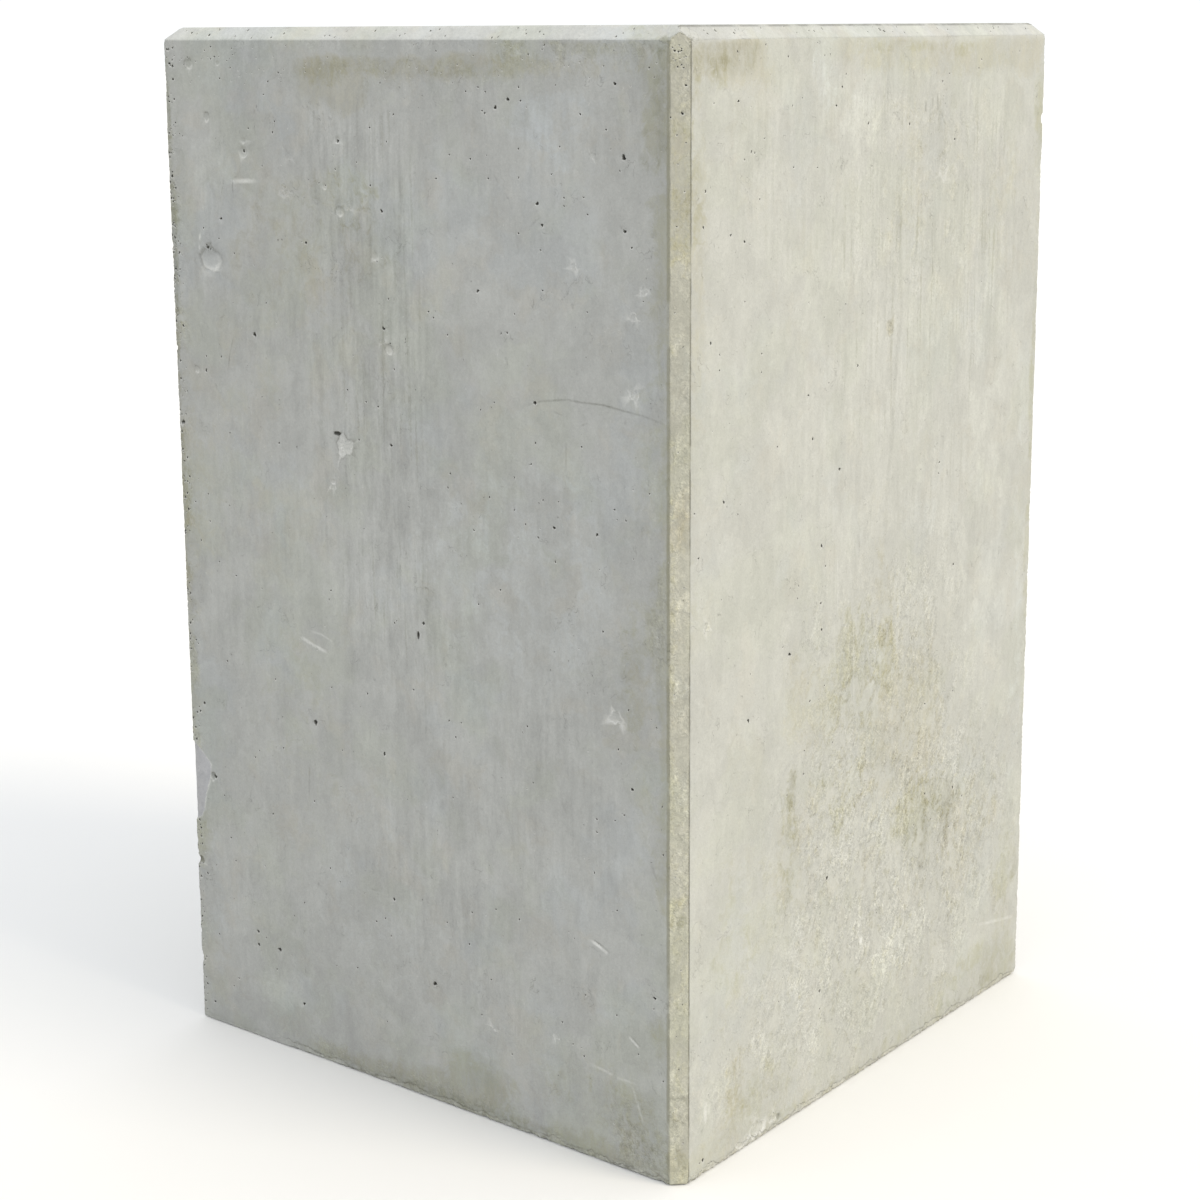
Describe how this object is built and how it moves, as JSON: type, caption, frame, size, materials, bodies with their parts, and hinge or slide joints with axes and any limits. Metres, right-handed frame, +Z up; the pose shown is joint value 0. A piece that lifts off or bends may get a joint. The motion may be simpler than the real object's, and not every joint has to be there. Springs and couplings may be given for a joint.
{
  "type": "precast concrete barrier block",
  "caption": "Plain upright precast concrete barrier block with chamfered top edge, inner steel bar cage, and cast-in lifting anchors in recesses under lift-out caps.",
  "frame": {"origin": "middle of the base, on the ground", "axes": "+Z up; -Y is the front face and +X the right face, whose shared upright edge is chamfered; the two lifting anchors stand in line along X"},
  "size_m": [0.61, 0.61, 1],
  "materials": {
    "concrete": "steel-mould cast concrete, matte, with bug holes and stains",
    "bar_steel": "mill-scale reinforcing bar with light rust",
    "link_steel": "mill-scale reinforcing bar with light rust",
    "anchor_steel": "galvanised forging, dull",
    "cap_plastic": "moulded polymer, fine grain",
    "seal_foam": "closed-cell foam rubber",
    "spacer_plastic": "moulded recycled polymer",
    "tie_wire": "black annealed wire"
  },
  "bodies": {
    "block": {"concrete_body": "concrete", "corner_bar_front_left": "bar_steel", "corner_bar_front_right": "bar_steel", "corner_bar_rear_left": "bar_steel", "corner_bar_rear_right": "bar_steel", "side_bar_front": "bar_steel", "side_bar_rear": "bar_steel", "side_bar_left": "bar_steel", "side_bar_right": "bar_steel", "link_1": "link_steel", "link_2": "link_steel", "link_3": "link_steel", "link_4": "link_steel", "link_5": "link_steel", "link_6": "link_steel", "link_7": "link_steel", "top_hairpin_front": "bar_steel", "top_hairpin_rear": "bar_steel", "top_hairpin_left": "bar_steel", "top_hairpin_right": "bar_steel", "base_hairpin_front": "bar_steel", "base_hairpin_rear": "bar_steel", "base_hairpin_left": "bar_steel", "base_hairpin_right": "bar_steel", "lifting_anchor_left": "anchor_steel", "lifting_anchor_right": "anchor_steel", "wheel_spacers_front": "spacer_plastic", "wheel_spacers_rear": "spacer_plastic", "wheel_spacers_left": "spacer_plastic", "wheel_spacers_right": "spacer_plastic", "top_chairs": "spacer_plastic", "tie_wires_corner": "tie_wire", "tie_wires_side": "tie_wire", "tie_wires_top": "tie_wire", "tie_wires_base": "tie_wire"},
    "cap_left": {"recess_cap_left": "cap_plastic", "cap_seal_left": "seal_foam"},
    "cap_right": {"recess_cap_right": "cap_plastic", "cap_seal_right": "seal_foam"}
  },
  "joints": [
    {"name": "cap_left_lift", "type": "slide", "parent": "block", "child": "cap_left", "axis": [0, 0, 1], "range_m": [0, 0.15]},
    {"name": "cap_right_lift", "type": "slide", "parent": "block", "child": "cap_right", "axis": [0, 0, 1], "range_m": [0, 0.15]}
  ]
}
